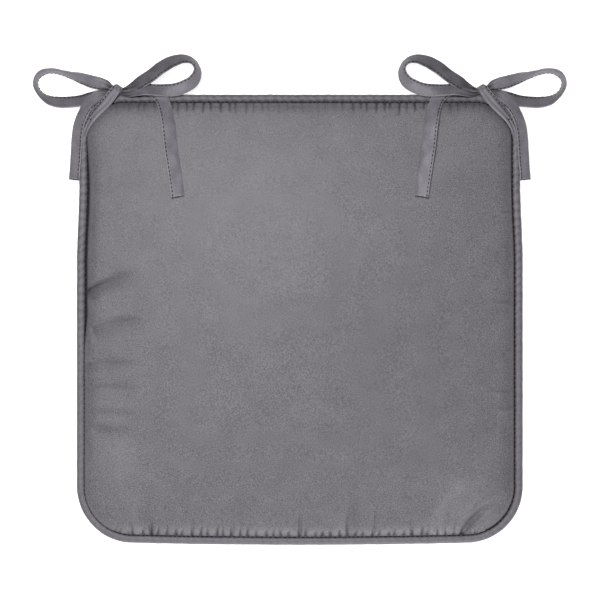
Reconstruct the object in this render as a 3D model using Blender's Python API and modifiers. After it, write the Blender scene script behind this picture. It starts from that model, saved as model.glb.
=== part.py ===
"""Chair seat pad, 400 x 404 mm, piped all round, with a tie bow at each rear corner.

Frame: origin at the middle of the flat underside, +Z up, +Y towards the rear edge that
carries the ties, mirror plane X = 0. Metres, apart from the tie routes, which are in
millimetres and are scaled by MM where they are used.
"""

import math

import bmesh
import bpy
from mathutils import Vector

MM = 0.001

# Outline of the finished pad, at the outer side of its piping.
PAD_WIDTH = 0.400
PAD_DEPTH = 0.404
FRONT_CORNER_RADIUS = 0.049
REAR_CORNER_RADIUS = 0.041
FRONT_BOW = 0.0035  # how far the front edge swells between its corners
REAR_NARROWING = 0.011  # the share by which the rear end is narrower
NARROWING_FROM = 0.050
NARROWING_TO = 0.120
CORNER_STEPS = 7
SIDE_STEPS = 8

# Edge of the pad. A height is measured from the underside.
CLEARANCE = 0.0003  # between pieces that touch on the real pad
CLOTH = 0.0007
SEAM_HEIGHT = 0.0100
PIPING_RADIUS = 0.0038
CORD_RADIUS = PIPING_RADIUS - CLOTH - CLEARANCE
ALLOWANCE_INSET = 0.0160  # where the seam allowances end, inside the outline
FLANGE_OFFSET = 0.0005  # from the seam's mid-height to the middle of a flange
PANEL_OFFSET = 0.0017  # from the seam's mid-height to the middle of a panel's allowance
THREAD_RADIUS = 0.0003
THREAD_INSET = 0.0070
THREAD_OFFSET = 0.0030

# Heights of the two panels' middle surfaces: (inset, height), then the height at the centre.
TOP_EDGE = (
    (ALLOWANCE_INSET, SEAM_HEIGHT + PANEL_OFFSET),
    (0.0088, SEAM_HEIGHT + PANEL_OFFSET),
    (0.0080, SEAM_HEIGHT + 0.0024),
    (0.0086, SEAM_HEIGHT + 0.0040),
    (0.0115, 0.0172),
    (0.0180, 0.0204),
    (0.0300, 0.0223),
)
TOP_CENTRE = 0.0246
BOTTOM_EDGE = (
    (ALLOWANCE_INSET, SEAM_HEIGHT - PANEL_OFFSET),
    (0.0088, SEAM_HEIGHT - PANEL_OFFSET),
    (0.0080, SEAM_HEIGHT - 0.0024),
    (0.0086, SEAM_HEIGHT - 0.0040),
    (0.0115, 0.0030),
    (0.0180, 0.0009),
    (0.0260, CLOTH / 2),
)
FIELD_RINGS = (0.82, 0.58, 0.30)  # sizes of the rings inside the edge, against its last one
FOAM_GAP = 0.0009  # from a panel's middle surface to the foam
FOAM_EDGE_INSET = 0.0170

# Tie tape.
TAPE_WIDTH = 0.0118
TAPE_THICKNESS = 0.0012
ROUTE_STEPS = 3  # straight pieces between two points of a route

# Each route is ((x, y, z), roll in degrees, share of the full width), for the left bow.
# Roll 0 lies flat, and a positive roll raises the edge on the right of the way it runs.
TIE_ROUTES = {
    "tie_root": (
        ((-186.6, 175.6, 15.6), 36, 0.45),
        ((-183.4, 182.4, 16.5), 24, 0.66),
        ((-178.4, 188.8, 16.7), 16, 0.84),
        ((-172.9, 194.4, 16.8), 8, 0.92),
        ((-167.9, 200.6, 17.3), 0, 0.92),
        ((-163.4, 207.2, 18.2), 0, 0.80),
    ),
    "outer_loop_upper_throat": (
        ((-168.9, 207.8, 12.8), 0, 0.50),
        ((-173.4, 209.6, 13.0), 4, 0.86),
        ((-180.1, 211.7, 12.6), 6, 1.00),
        ((-187.2, 213.5, 11.0), 14, 1.00),
        ((-196.4, 216.6, 8.0), 36, 1.00),
    ),
    "outer_loop_lower_throat": (
        ((-169.6, 205.0, 7.0), 0, 0.40),
        ((-176.5, 203.6, 6.2), 0, 0.60),
        ((-183.7, 201.4, 5.0), 0, 0.78),
        ((-189.9, 199.1, 4.0), 0, 0.95),
        ((-196.4, 197.3, 3.4), 0, 1.00),
    ),
    "outer_loop": (
        ((-198.0, 217.1, 7.6), 41, 1.00),
        ((-205.2, 219.4, 6.6), 62, 1.00),
        ((-213.3, 221.5, 6.4), 66, 1.00),
        ((-222.2, 223.3, 6.2), 66, 1.00),
        ((-230.3, 222.0, 6.2), 68, 1.00),
        ((-235.4, 218.0, 6.2), 64, 1.00),
        ((-237.0, 212.4, 6.3), 66, 1.00),
        ((-234.9, 206.0, 6.4), 70, 1.00),
        ((-230.6, 200.8, 5.6), 56, 1.00),
        ((-224.9, 197.4, 4.4), 36, 1.00),
        ((-218.6, 196.0, 2.8), 12, 1.00),
        ((-210.6, 195.8, 2.4), 2, 1.00),
        ((-198.0, 197.1, 3.3), 0, 1.00),
    ),
    "inner_loop": (
        ((-157.4, 205.8, 12.7), 0, 0.36),
        ((-149.6, 207.9, 14.1), 8, 0.70),
        ((-142.4, 211.9, 15.4), 10, 1.00),
        ((-132.1, 219.5, 17.0), 10, 1.00),
        ((-122.7, 226.7, 18.0), 10, 1.00),
        ((-111.5, 232.1, 18.0), 24, 1.00),
        ((-102.9, 233.9, 17.2), 44, 1.00),
        ((-95.8, 231.7, 16.4), 64, 1.00),
        ((-92.0, 226.6, 16.2), 68, 1.00),
        ((-91.5, 220.6, 16.4), 52, 1.00),
        ((-94.9, 213.7, 17.0), 34, 1.00),
        ((-101.3, 209.2, 17.6), 18, 1.00),
        ((-110.1, 205.9, 18.2), 6, 1.00),
        ((-118.0, 205.3, 18.5), 0, 0.96),
        ((-126.3, 206.2, 18.4), 0, 0.90),
        ((-136.1, 207.2, 17.6), 0, 0.94),
        ((-144.6, 206.9, 16.8), 0, 0.90),
        ((-152.2, 205.6, 16.0), 0, 0.60),
        ((-157.4, 204.6, 15.2), 0, 0.36),
    ),
    "outer_tail_throat": (
        ((-169.6, 203.6, 9.8), 0, 0.34),
        ((-173.6, 204.0, 9.4), 0, 0.50),
        ((-178.0, 203.7, 9.2), 4, 0.66),
        ((-181.6, 201.9, 9.4), 8, 0.84),
        ((-184.4, 199.0, 9.9), 12, 0.96),
    ),
    "outer_tail": (
        ((-185.6, 197.8, 10.2), -14, 0.97),
        ((-189.4, 192.7, 11.4), -22, 1.00),
        ((-193.6, 185.9, 12.2), -28, 1.00),
        ((-196.4, 179.6, 12.5), -29, 1.00),
        ((-198.8, 170.7, 12.5), -30, 1.00),
        ((-200.5, 150.9, 12.2), -30, 1.00),
        ((-201.4, 138.4, 11.9), -30, 1.00),
        ((-202.4, 126.4, 11.5), -30, 1.00),
    ),
    "inner_tail_throat": (
        ((-157.4, 205.4, 10.0), 0, 0.34),
        ((-150.5, 207.5, 11.2), 0, 0.66),
        ((-142.4, 208.0, 13.1), 0, 0.78),
        ((-134.3, 206.0, 14.9), 0, 0.92),
        ((-127.4, 203.6, 15.5), 0, 1.00),
        ((-124.2, 200.6, 16.0), 0, 1.00),
        ((-122.2, 197.3, 16.7), 0, 1.00),
    ),
    "inner_tail": (
        ((-121.6, 196.2, 17.1), 0, 1.00),
        ((-120.2, 192.9, 18.7), 0, 1.00),
        ((-118.9, 187.5, 21.2), 0, 1.00),
        ((-117.7, 180.0, 23.0), 0, 1.00),
        ((-115.9, 165.3, 24.0), 0, 1.00),
        ((-114.1, 150.9, 24.3), 0, 1.00),
        ((-112.3, 139.7, 24.4), 0, 1.00),
        ((-109.8, 122.7, 24.6), 0, 1.00),
        ((-108.3, 110.1, 24.8), 0, 1.00),
    ),
}
# Hinge line of each moving length of tape: a point on it and the way it points.
HINGES = {
    "outer_loop": ((-197.4, 207.0, 12.2), (0.09, 1.0, 0.0)),
    "inner_loop": ((-157.0, 205.2, 16.0), (0.21, -0.98, 0.0)),
    "outer_tail": ((-185.0, 198.4, 12.2), (-0.78, 0.63, 0.0)),
    "inner_tail": ((-121.2, 196.3, 17.8), (-0.93, -0.37, 0.0)),
}
KNOT_CENTRE = Vector((-163.3, 205.9, 11.5)) * MM
KNOT_RADII = Vector((4.8, 4.2, 5.5)) * MM
TACK_SIZE = Vector((5.6, 1.2, 0.5)) * MM
TACK_CENTRE = Vector((-184.5, 180.2, 17.9)) * MM
TACK_TURN = math.radians(-25)
TACK_ROLL = math.radians(-24)


def clear_scene():
    for obj in list(bpy.data.objects):
        bpy.data.objects.remove(obj, do_unlink=True)


def fabric_material(name, colour, roughness):
    """A matt, non-metallic material in the given linear colour."""
    material = bpy.data.materials.new(name)
    material.use_nodes = True
    shader = material.node_tree.nodes["Principled BSDF"]
    shader.inputs["Base Color"].default_value = (*colour, 1.0)
    shader.inputs["Roughness"].default_value = roughness
    shader.inputs["Metallic"].default_value = 0.0
    return material


def add_object(name, data, collection, material):
    obj = bpy.data.objects.new(name, data)
    collection.objects.link(obj)
    data.materials.append(material)
    return obj


def mesh_from(name, bm, smooth_angle=40):
    mesh = bpy.data.meshes.new(name)
    bmesh.ops.recalc_face_normals(bm, faces=bm.faces)
    bm.to_mesh(mesh)
    bm.free()
    mesh.shade_smooth()
    mesh.set_sharp_from_angle(angle=math.radians(smooth_angle))
    return mesh


def smooth_step(start, end, value):
    share = min(max((value - start) / (end - start), 0.0), 1.0)
    return share * share * (3 - 2 * share)


def shaped(x, y):
    """A point of the plain rounded rectangle, moved to the pad's slightly tapered outline."""
    x *= 1 - REAR_NARROWING * smooth_step(NARROWING_FROM, NARROWING_TO, y)
    if y < 0:
        across = 2 * x / PAD_WIDTH
        y -= FRONT_BOW * (1 - across * across) * (-2 * y / PAD_DEPTH)
    return Vector((x, y))


def outline():
    """The pad's outline, anticlockwise from the middle of its right side."""
    half_width = PAD_WIDTH / 2
    rear = PAD_DEPTH / 2
    front = -PAD_DEPTH / 2 + FRONT_BOW
    corners = (
        (half_width, rear, REAR_CORNER_RADIUS, 0),
        (-half_width, rear, REAR_CORNER_RADIUS, 90),
        (-half_width, front, FRONT_CORNER_RADIUS, 180),
        (half_width, front, FRONT_CORNER_RADIUS, 270),
    )
    plain = []
    for x, y, radius, start in corners:
        centre_x = x - math.copysign(radius, x)
        centre_y = y - math.copysign(radius, y)
        for step in range(CORNER_STEPS + 1):
            angle = math.radians(start + 90 * step / CORNER_STEPS)
            plain.append((centre_x + radius * math.cos(angle), centre_y + radius * math.sin(angle)))
    points = []
    per_corner = CORNER_STEPS + 1
    for index, point in enumerate(plain):
        points.append(shaped(*point))
        if index % per_corner == CORNER_STEPS:
            after = plain[(index + 1) % len(plain)]
            for step in range(1, SIDE_STEPS):
                share = step / SIDE_STEPS
                x = point[0] + (after[0] - point[0]) * share
                y = point[1] + (after[1] - point[1]) * share
                points.append(shaped(x, y))
    return points


def inset_ring(distance, height):
    """The outline moved inwards by the distance, at the height."""
    points = outline()
    ring = []
    for index, point in enumerate(points):
        along = points[(index + 1) % len(points)] - points[index - 1]
        inward = Vector((-along.y, along.x)).normalized()
        ring.append(Vector((*(point + inward * distance), height)))
    return ring


def field_rings(edge, centre_height):
    """The rings of a panel inside its edge, rising to the centre in a shallow crown."""
    inset, height = edge[-1]
    last = inset_ring(inset, height)
    rings = []
    for share in FIELD_RINGS:
        rise = (centre_height - height) * (1 - share * share)
        rings.append([Vector((p.x * share, p.y * share, height + rise)) for p in last])
    return rings


def bridge(bm, rings):
    """Quads from each ring to the next. It returns the rings' vertices."""
    placed = [[bm.verts.new(point) for point in ring] for ring in rings]
    for lower, upper in zip(placed, placed[1:]):
        for index in range(len(lower)):
            after = (index + 1) % len(lower)
            bm.faces.new((lower[index], lower[after], upper[after], upper[index]))
    return placed


def add_panel(name, edge, centre_height, collection, material):
    """One cover panel: its seam allowance, the turn at the seam and its field."""
    rings = [inset_ring(inset, height) for inset, height in edge]
    rings += field_rings(edge, centre_height)
    bm = bmesh.new()
    placed = bridge(bm, rings)
    bm.faces.new(placed[-1])
    panel = add_object(name, mesh_from(name, bm), collection, material)
    solidify = panel.modifiers.new("Cloth thickness", "SOLIDIFY")
    solidify.thickness = CLOTH
    solidify.offset = 0.0
    return panel


def add_foam(collection, material):
    """The foam slab: the panels' own shape, a little inside them."""
    top = [(inset, height - FOAM_GAP) for inset, height in TOP_EDGE[-2:]]
    bottom = [(inset, height + FOAM_GAP) for inset, height in BOTTOM_EDGE[-2:]]
    side = [(FOAM_EDGE_INSET, top[0][1] - 0.0012), (FOAM_EDGE_INSET, bottom[0][1] + 0.0012)]
    rings = list(reversed(field_rings(top, TOP_CENTRE - FOAM_GAP)))
    rings += [inset_ring(*place) for place in reversed(top)]
    rings += [inset_ring(*place) for place in side]
    rings += [inset_ring(*place) for place in bottom]
    bm = bmesh.new()
    placed = bridge(bm, rings)
    bm.faces.new(placed[0])
    bm.faces.new(placed[-1])
    return add_object("foam_core", mesh_from("foam_core", bm), collection, material)


def edge_curve(name, inset, height):
    """A closed curve that follows the pad's outline."""
    curve = bpy.data.curves.new(name, "CURVE")
    curve.dimensions = "3D"
    curve.twist_mode = "Z_UP"
    ring = inset_ring(inset, height)
    spline = curve.splines.new("POLY")
    spline.points.add(len(ring) - 1)
    for point, place in zip(spline.points, ring):
        point.co = (*place, 1.0)
    spline.use_cyclic_u = True
    return curve


def add_edge_tube(name, inset, height, radius, sides, collection, material):
    curve = edge_curve(name, inset, height)
    curve.bevel_depth = radius
    curve.bevel_resolution = sides // 2 - 2
    return add_object(name, curve, collection, material)


def sleeve_profile():
    """Cross-section of the bias strip: round the cord, with its two allowances inwards."""
    curve = bpy.data.curves.new("sleeve_profile", "CURVE")
    curve.dimensions = "2D"
    reach = ALLOWANCE_INSET - PIPING_RADIUS
    half = CLOTH / 2
    arc_steps = 11
    outer = []
    inner = []
    for step in range(arc_steps + 1):
        angle = math.radians(16 + (360 - 32) * step / arc_steps)
        outer.append((PIPING_RADIUS * math.cos(angle), PIPING_RADIUS * math.sin(angle)))
        inner_radius = PIPING_RADIUS - CLOTH
        angle = math.radians(8 + (360 - 16) * step / arc_steps)
        inner.append((inner_radius * math.cos(angle), inner_radius * math.sin(angle)))
    points = [(reach, FLANGE_OFFSET + half)]
    points += outer
    points += [(reach, -FLANGE_OFFSET - half), (reach, -FLANGE_OFFSET + half)]
    points += reversed(inner)
    points += [(reach, FLANGE_OFFSET - half)]
    spline = curve.splines.new("POLY")
    spline.points.add(len(points) - 1)
    for point, (inward, up) in zip(spline.points, points):
        point.co = (-inward, up, 0.0, 1.0)
    spline.use_cyclic_u = True
    profile = bpy.data.objects.new("sleeve_profile", curve)
    profile.hide_render = True
    profile.display_type = "WIRE"
    return profile


def add_piping(collection, guides, sleeve_cloth, cord):
    curve = edge_curve("piping_sleeve", PIPING_RADIUS, SEAM_HEIGHT)
    profile = sleeve_profile()
    guides.objects.link(profile)
    curve.bevel_mode = "OBJECT"
    curve.bevel_object = profile
    add_object("piping_sleeve", curve, collection, sleeve_cloth)
    add_edge_tube("piping_cord", PIPING_RADIUS, SEAM_HEIGHT, CORD_RADIUS, 10, collection, cord)


def add_tape(name, route, side, collection, material):
    """A length of tie tape along a route. The side is 1 for the left bow, -1 for the right."""
    curve = bpy.data.curves.new(name, "CURVE")
    curve.dimensions = "3D"
    curve.twist_mode = "Z_UP"
    curve.extrude = TAPE_WIDTH / 2
    curve.resolution_u = ROUTE_STEPS
    spline = curve.splines.new("BEZIER")
    spline.bezier_points.add(len(route) - 1)
    for point, ((x, y, z), roll, share) in zip(spline.bezier_points, route):
        point.co = Vector((x * side, y, z)) * MM
        point.tilt = math.radians(90 - side * roll)
        point.radius = share
        point.handle_left_type = "AUTO"
        point.handle_right_type = "AUTO"
    tape = add_object(name, curve, collection, material)
    solidify = tape.modifiers.new("Folded tape", "SOLIDIFY")
    solidify.thickness = TAPE_THICKNESS
    solidify.offset = 0.0
    return tape


def hang_on_hinge(tape, hinge, side):
    """Parents a moving length of tape to an empty on its hinge line."""
    place, direction = hinge
    pivot = bpy.data.objects.new(f"{tape.name}_hinge", None)
    pivot.empty_display_size = 0.01
    pivot.location = Vector((place[0] * side, place[1], place[2])) * MM
    along = Vector((direction[0] * side, direction[1], direction[2]))
    pivot.rotation_euler = along.to_track_quat("X", "Z").to_euler()
    tape.users_collection[0].objects.link(pivot)
    bpy.context.view_layer.update()
    tape.parent = pivot
    tape.matrix_parent_inverse = pivot.matrix_world.inverted()


def add_knot(name, side, collection, material):
    bm = bmesh.new()
    bmesh.ops.create_uvsphere(bm, u_segments=14, v_segments=9, radius=1.0)
    bmesh.ops.scale(bm, vec=KNOT_RADII, verts=bm.verts)
    knot = add_object(name, mesh_from(name, bm), collection, material)
    knot.location = (KNOT_CENTRE.x * side, KNOT_CENTRE.y, KNOT_CENTRE.z)
    return knot


def add_tack(name, side, collection, material):
    """The bar of close stitches that holds the tie's root in the seam."""
    bm = bmesh.new()
    bmesh.ops.create_cube(bm, size=1.0)
    bmesh.ops.scale(bm, vec=TACK_SIZE, verts=bm.verts)
    tack = add_object(name, mesh_from(name, bm), collection, material)
    tack.location = (TACK_CENTRE.x * side, TACK_CENTRE.y, TACK_CENTRE.z)
    tack.rotation_euler = (0.0, TACK_ROLL * side, TACK_TURN * side)
    bevel = tack.modifiers.new("Round edges", "BEVEL")
    bevel.width = 0.00015
    bevel.segments = 1
    return tack


def add_bow(prefix, side, collection, tape_cloth, thread):
    for part, route in TIE_ROUTES.items():
        tape = add_tape(f"{prefix}_{part}", route, side, collection, tape_cloth)
        if part in HINGES:
            hang_on_hinge(tape, HINGES[part], side)
    add_knot(f"{prefix}_tie_knot", side, collection, tape_cloth)
    add_tack(f"{prefix}_tie_tack", side, collection, thread)


clear_scene()
pad = bpy.data.collections.new("chair_seat_pad")
guides = bpy.data.collections.new("guides")
guides.hide_render = True
for made in (pad, guides):
    bpy.context.scene.collection.children.link(made)

cover_cloth = fabric_material("grey_microfibre", (0.215, 0.200, 0.212), 0.75)
tape_cloth = fabric_material("tie_tape", (0.200, 0.188, 0.198), 0.72)
foam = fabric_material("polyurethane_foam", (0.82, 0.80, 0.70), 0.95)
cord = fabric_material("piping_cord", (0.80, 0.78, 0.74), 0.90)
thread = fabric_material("sewing_thread", (0.170, 0.160, 0.170), 0.60)

add_panel("top_panel", TOP_EDGE, TOP_CENTRE, pad, cover_cloth)
add_panel("bottom_panel", BOTTOM_EDGE, BOTTOM_EDGE[-1][1], pad, cover_cloth)
add_foam(pad, foam)
add_piping(pad, guides, cover_cloth, cord)
for name, height in (
    ("seam_thread_top", SEAM_HEIGHT + THREAD_OFFSET),
    ("seam_thread_bottom", SEAM_HEIGHT - THREAD_OFFSET),
):
    add_edge_tube(name, THREAD_INSET, height, THREAD_RADIUS, 6, pad, thread)
for prefix, side in (("left", 1), ("right", -1)):
    add_bow(prefix, side, pad, tape_cloth, thread)
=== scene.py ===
"""Chair seat pad: a crowned microfibre cover over a thin foam slab, covered piping all round,
and a bow of narrow edge-stitched tape at each rear corner. Metres, +Z up, +Y towards the bows.
"""

import math

import bmesh
import bpy
import numpy as np
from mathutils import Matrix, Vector, noise
from mathutils.bvhtree import BVHTree


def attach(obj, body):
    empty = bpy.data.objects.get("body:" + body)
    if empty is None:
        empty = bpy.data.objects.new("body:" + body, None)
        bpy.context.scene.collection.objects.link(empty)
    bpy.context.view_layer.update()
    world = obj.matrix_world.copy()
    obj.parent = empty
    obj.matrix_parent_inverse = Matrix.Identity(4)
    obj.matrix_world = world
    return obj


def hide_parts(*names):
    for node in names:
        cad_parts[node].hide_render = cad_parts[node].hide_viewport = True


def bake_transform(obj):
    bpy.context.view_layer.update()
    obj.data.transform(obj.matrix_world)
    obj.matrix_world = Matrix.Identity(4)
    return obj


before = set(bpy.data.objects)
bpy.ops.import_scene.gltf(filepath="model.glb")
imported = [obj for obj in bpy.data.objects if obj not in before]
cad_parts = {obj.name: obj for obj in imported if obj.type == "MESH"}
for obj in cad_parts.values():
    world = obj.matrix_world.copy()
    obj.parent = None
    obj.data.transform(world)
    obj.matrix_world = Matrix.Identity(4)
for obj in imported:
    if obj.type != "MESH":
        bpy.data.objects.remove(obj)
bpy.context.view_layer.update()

# Camera, looking straight down on the pad from well above it, with the bows at the top.
eye = bpy.data.cameras.new("camera_above")
eye.lens = 120
eye_object = bpy.data.objects.new("camera_above", eye)
bpy.context.scene.collection.objects.link(eye_object)
VIEW_WIDTH = 0.5382  # what the camera takes in at the height of the piping
eye_object.location = (0.0002, 0.0177, 0.010 + VIEW_WIDTH * eye.lens / eye.sensor_width)
bpy.context.scene.camera = eye_object

# ---------------------------------------------------------------------------------------------
# Cover. Two panels of brushed polyester microfibre, cut 10 mm larger than the pad and sewn face
# to face round the edge, then turned out over a soft foam slab 20 mm thick. The thread gathers
# the cloth, so it stands in short puckers along the front and the rear and in soft folds at
# the sides.
PAD_WIDTH = 0.400
PAD_DEPTH = 0.404
FRONT_CORNER_RADIUS = 0.049
REAR_CORNER_RADIUS = 0.041
FRONT_BOW = 0.0035
REAR_NARROWING = 0.011
EDGE_POINTS = 1664  # round the outline, one every 0.9 mm


def outline(count):
    """Points evenly spaced along the pad's outline, anticlockwise, and their inward directions."""
    rear, front = PAD_DEPTH / 2, -PAD_DEPTH / 2 + FRONT_BOW
    plain = []
    for x_sign, y, radius, start in (
        (1, rear, REAR_CORNER_RADIUS, 0),
        (-1, rear, REAR_CORNER_RADIUS, 90),
        (-1, front, FRONT_CORNER_RADIUS, 180),
        (1, front, FRONT_CORNER_RADIUS, 270),
    ):
        angle = np.radians(start + np.linspace(0, 90, 60))
        x = x_sign * (PAD_WIDTH / 2 - radius)
        y -= math.copysign(radius, y)
        plain.append(np.stack([x + radius * np.cos(angle), y + radius * np.sin(angle)], axis=1))
    corners = []
    for arc, after in zip(plain, plain[1:] + plain[:1]):
        share = np.linspace(0, 1, 40)[1:-1, None]
        corners += [arc, arc[-1] * (1 - share) + after[0] * share]
    points = np.concatenate(corners)
    share = np.clip((points[:, 1] - 0.050) / 0.070, 0, 1)
    points[:, 0] *= 1 - REAR_NARROWING * share * share * (3 - 2 * share)
    across = 2 * points[:, 0] / PAD_WIDTH
    swell = np.where(points[:, 1] < 0, -2 * points[:, 1] / PAD_DEPTH, 0)
    points[:, 1] -= FRONT_BOW * (1 - across * across) * swell
    loop = np.concatenate([points, points[:1]])
    run = np.concatenate([[0], np.cumsum(np.linalg.norm(np.diff(loop, axis=0), axis=1))])
    place = np.arange(count) / count * run[-1]
    ring = np.stack([np.interp(place, run, loop[:, axis]) for axis in (0, 1)], axis=1)
    along = np.roll(ring, -2, axis=0) - np.roll(ring, 2, axis=0)
    along /= np.linalg.norm(along, axis=1)[:, None]
    return ring, np.stack([-along[:, 1], along[:, 0]], axis=1), place


def smooth_line(points, count):
    """A smooth line through the given points, with this many points along it."""
    points = np.array(points, float)
    padded = np.concatenate([[2 * points[0] - points[1]], points, [2 * points[-1] - points[-2]]])
    place = np.linspace(0, len(points) - 1.0001, count)
    first = place.astype(int)
    t = (place - first)[:, None]
    a, b, c, d = (padded[first + step] for step in range(4))
    return 0.5 * (2 * b + (c - a) * t + (2 * a - 5 * b + 4 * c - d) * t**2
                  + (3 * b - a - 3 * c + d) * t**3)


def eased(value, low, high):
    share = np.clip((value - low) / (high - low), 0, 1)
    return share * share * (3 - 2 * share)


def beside_line(x, y, line):
    """Signed distance to a line of points, positive on its left, and the share along it."""
    nearest = np.full(x.shape, 1e9)
    side = np.zeros(x.shape)
    share = np.zeros(x.shape)
    for index, (start, end) in enumerate(zip(line, line[1:])):
        run = end - start
        t = np.clip(((x - start[0]) * run[0] + (y - start[1]) * run[1]) / (run @ run), 0, 1)
        off_x, off_y = x - start[0] - t * run[0], y - start[1] - t * run[1]
        distance = np.hypot(off_x, off_y)
        closer = distance < nearest
        nearest = np.where(closer, distance, nearest)
        side = np.where(closer, np.sign(run[0] * off_y - run[1] * off_x), side)
        share = np.where(closer, (index + t) / (len(line) - 1), share)
    return nearest * side, share


# Creases and folds of the cover: points in millimetres, depth, half width, and how much of the
# depth the cloth stands up beside the fold, on the left of the way that it runs. Below 0 the
# cloth is lapped instead: it drops at the line and slopes up again on the right.
FOLDS = (
    (((-193, 24), (-184, 31), (-172, 36), (-158, 40), (-138, 45)), 2.0, 9.5, -1.0),
    (((-196, 19), (-186, 29), (-173, 35.5), (-158, 40)), 1.0, 0.8, 0.3),
    (((-190, -9), (-173, -3), (-156, 0), (-133, 0)), 2.0, 11.0, -0.8),
    (((-193, -39), (-176, -38), (-158, -38), (-134, -40)), 1.2, 7.0, -1.0),
    (((-190, -60), (-167, -60), (-140, -62)), 0.7, 6.0, -0.8),
    (((-190, -84), (-164, -84), (-136, -85)), 0.50, 3.6, 0.5),
    (((-188, -97), (-166, -101), (-146, -101)), 0.70, 5.0, 0.6),
    (((-134, -192), (-138, -172), (-136, -152)), 0.55, 5.0, 0.7),
    (((-132.6, -196), (-133.2, -186), (-134.2, -177)), 1.5, 1.3, 0.2),
    (((-149.4, -194), (-150.8, -184), (-153, -174)), 0.8, 1.2, 0.2),
    (((-174, -171), (-167, -177), (-160.5, -181)), 0.85, 0.9, 0.3),
    (((-95.5, -196), (-95.8, -186), (-95.2, -174)), 0.9, 1.0, 0.2),
    (((-60, -196), (-59.8, -186), (-60.5, -172)), 0.8, 1.0, 0.2),
    (((0.2, -197), (0.4, -184), (0.0, -166)), 1.1, 1.1, 0.2),
    (((46, -196), (49.5, -172), (53, -138)), 0.85, 5.2, 0.4),
    (((41.5, -196), (42.5, -184), (44.5, -168)), 0.8, 1.0, 0.2),
    (((64, -196), (67.5, -182), (69, -164)), 0.8, 1.2, 0.5),
    (((99.6, -195), (99.8, -186), (101, -173)), 0.8, 1.1, 0.3),
    (((131, -196), (135, -174), (139, -146)), 1.0, 5.0, 0.4),
    (((118, -195), (119, -187), (121, -178)), 0.6, 1.2, 0.3),
    (((143, -196), (149, -184), (158, -174), (170, -166), (190, -158)), 2.6, 3.6, 0.7),
    (((156, -193), (160, -187), (167, -182)), 0.7, 1.2, 0.3),
    (((122, -196), (131, -176), (144, -155), (160, -136)), -1.6, 9.0, 0.0),
    (((138, -196), (141, -188), (145, -182)), 0.8, 1.6, 0.5),
    (((192, 16.5), (176, 17), (160, 16)), 0.40, 1.8, 0.5),
    (((192, -62), (178, -62.5), (166, -61)), 0.42, 1.8, 0.5),
    (((192, -77), (178, -78), (168, -77)), 0.45, 2.0, 0.5),
    (((190, 96), (182, 97), (176, 99)), 0.40, 1.2, 0.5),
    (((58.5, -186), (58.0, -120), (58.8, -48)), 0.12, 1.0, 0.3),
)
SWELLS = (((-166, -124), 18, 1.0), ((156, -157), 17, 1.2), ((-160, -150), 20, 0.5),
          ((-40, 90), 90, 0.8), ((90, -30), 80, -0.5))  # soft rises or hollows: place, size, height
LAP_STEEPNESS = 2.0  # half width of a lapped fold's drop


def fold_height(x, y):
    """How far the folds lift the top panel at each point, all in millimetres."""
    height = np.zeros(x.shape)
    for places, depth, half_width, stand in FOLDS:
        line = smooth_line(places, 14)
        aside, share = beside_line(x, y, line)
        fade = (eased(share, 0, 0.10) * (1 - eased(share, 0.45, 1.0)))
        if stand < 0:
            width = np.where(aside > 0, LAP_STEEPNESS, half_width)
            lap = np.exp(-(aside / width) ** 2)
            height += depth * fade * stand * lap
            continue
        valley = np.exp(-(aside / half_width) ** 2)
        ridge = np.exp(-((aside - 1.9 * half_width) / (1.4 * half_width)) ** 2)
        height += depth * fade * (stand * ridge - valley)
    for (place_x, place_y), size, rise in SWELLS:
        height += rise * np.exp(-((x - place_x) ** 2 + (y - place_y) ** 2) / size**2)
    return height


def pucker_strength(x, y):
    """How strongly the seam gathers the cloth at a point of the outline."""
    rear = np.interp(np.abs(x), (0, 30, 60, 100, 125, 160, 185),
                     (0.18, 0.28, 0.80, 1.0, 0.45, 0.2, 0.10))
    front = np.interp(x, (-190, -165, -140, 140, 158, 170), (0.05, 0.25, 1.0, 1.0, 0.30, 0.05))
    return np.where(y > 170, rear, np.where(y < -165, front, 0.05))


PUCKER_SPACING = 7.3
PUCKER_DEPTH = 2.5
PUCKER_STAND = 0.30  # how far the cloth stands up between the puckers
SEAM_INSET = 7.5  # from the pad's outline to the seam


def puckers(x, y, run, inset):
    """Height of the gathers along the seam, on a grid of rings by points, in millimetres."""
    draw = np.random.default_rng(7)
    total = run[-1] + run[1]
    count = int(round(total / PUCKER_SPACING))
    centres = (np.arange(count) + draw.uniform(-0.22, 0.22, count)) * total / count
    depth = draw.uniform(0.75, 1.25, count)
    reach = draw.uniform(6.5, 12.5, count)
    lean = draw.uniform(-0.12, 0.12, count)
    strength = pucker_strength(x, y)
    height = np.zeros((len(inset), len(run)))
    for centre, deep, long, slant in zip(centres, depth, reach, lean):
        near = np.abs((run - centre + total / 2) % total - total / 2) < 6
        offset = (run[near] - centre + total / 2) % total - total / 2
        inward = inset - SEAM_INSET
        width = 0.62 + 0.9 * np.exp(-inward / 3.5)
        across = (offset[None, :] - slant * inward[:, None]) / width[:, None]
        fall = eased(inward, 0.0, 1.2) * np.clip(1 - inward / long, 0, 1) ** 0.9
        pucker = PUCKER_DEPTH * deep * strength[near] * np.exp(-across**2)
        height[:, near] -= pucker * fall[:, None]
    lift = eased(inset, 8.2, 10.5) * (1 - eased(inset, 11, 20))
    return height + PUCKER_STAND * strength * lift[:, None]


def ditch(x, y):
    """How far the panel stands back from the piping, which is most along the left side."""
    left = 2.6 * eased(y, -28, 6) * (1 - eased(y, 120, 168)) - 0.35
    return np.where(x < -170, left, np.where(x > 170, 0.75, 0.15))


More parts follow.
